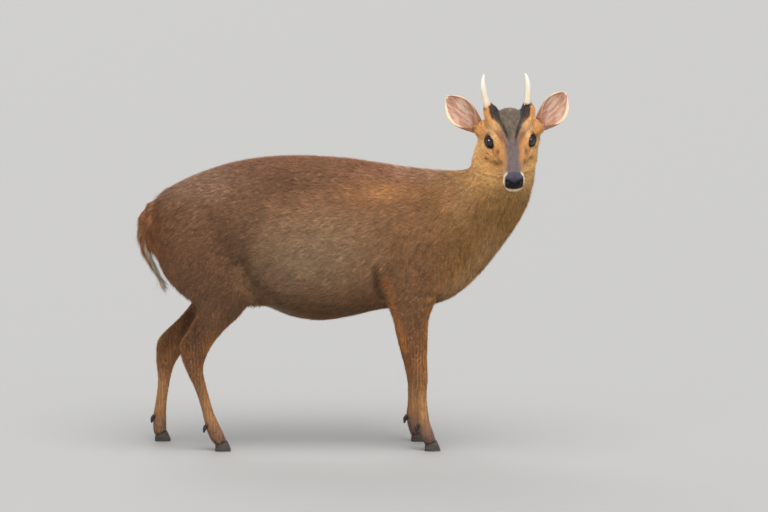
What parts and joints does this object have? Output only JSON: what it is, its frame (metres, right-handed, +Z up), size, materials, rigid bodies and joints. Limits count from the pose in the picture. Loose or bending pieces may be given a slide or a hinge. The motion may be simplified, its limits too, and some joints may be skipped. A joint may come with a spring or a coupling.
{
  "type": "muntjac deer, standing museum model",
  "caption": "Life-size male muntjac with short spike antlers, standing still on its hooves with its head turned to its right.",
  "frame": {"origin": "on the floor, under the middle of the bounding box", "axes": "+X towards the chest, along the body; +Y towards the animal's left; +Z up"},
  "size_m": [0.8028, 0.3044, 0.7048],
  "materials": {
    "body_fur": "short chestnut fur, darker along the back, golden on the throat",
    "leg_fur": "very short rufous fur, grey to black above the hooves",
    "face_fur": "very short orange fur with dark stripes on the inner sides of the pedicles",
    "ear_skin": "thin skin, brown-furred behind and pink inside",
    "nose_skin": "wet, finely pebbled black skin",
    "eye_gloss": "wet black eye",
    "antler_bone": "smooth ivory antler, pinkish at the base",
    "horn": "dark horn, slightly worn at the edges"
  },
  "bodies": {
    "root": {"antler_left": "antler_bone", "antler_right": "antler_bone", "dewclaw_fore_left_inner": "horn", "dewclaw_fore_left_outer": "horn", "dewclaw_fore_right_inner": "horn", "dewclaw_fore_right_outer": "horn", "dewclaw_hind_left_inner": "horn", "dewclaw_hind_left_outer": "horn", "dewclaw_hind_right_inner": "horn", "dewclaw_hind_right_outer": "horn", "ear_left": "ear_skin", "ear_right": "ear_skin", "eye_left": "eye_gloss", "eye_right": "eye_gloss", "head": "face_fur", "hoof_fore_left_inner": "horn", "hoof_fore_left_outer": "horn", "hoof_fore_right_inner": "horn", "hoof_fore_right_outer": "horn", "hoof_hind_left_inner": "horn", "hoof_hind_left_outer": "horn", "hoof_hind_right_inner": "horn", "hoof_hind_right_outer": "horn", "leg_fore_left_lower": "leg_fur", "leg_fore_left_upper": "leg_fur", "leg_fore_right_lower": "leg_fur", "leg_fore_right_upper": "leg_fur", "leg_hind_left_lower": "leg_fur", "leg_hind_left_upper": "leg_fur", "leg_hind_right_lower": "leg_fur", "leg_hind_right_upper": "leg_fur", "neck": "body_fur", "nose": "nose_skin", "tail": "body_fur", "torso": "body_fur"}
  },
  "joints": []
}
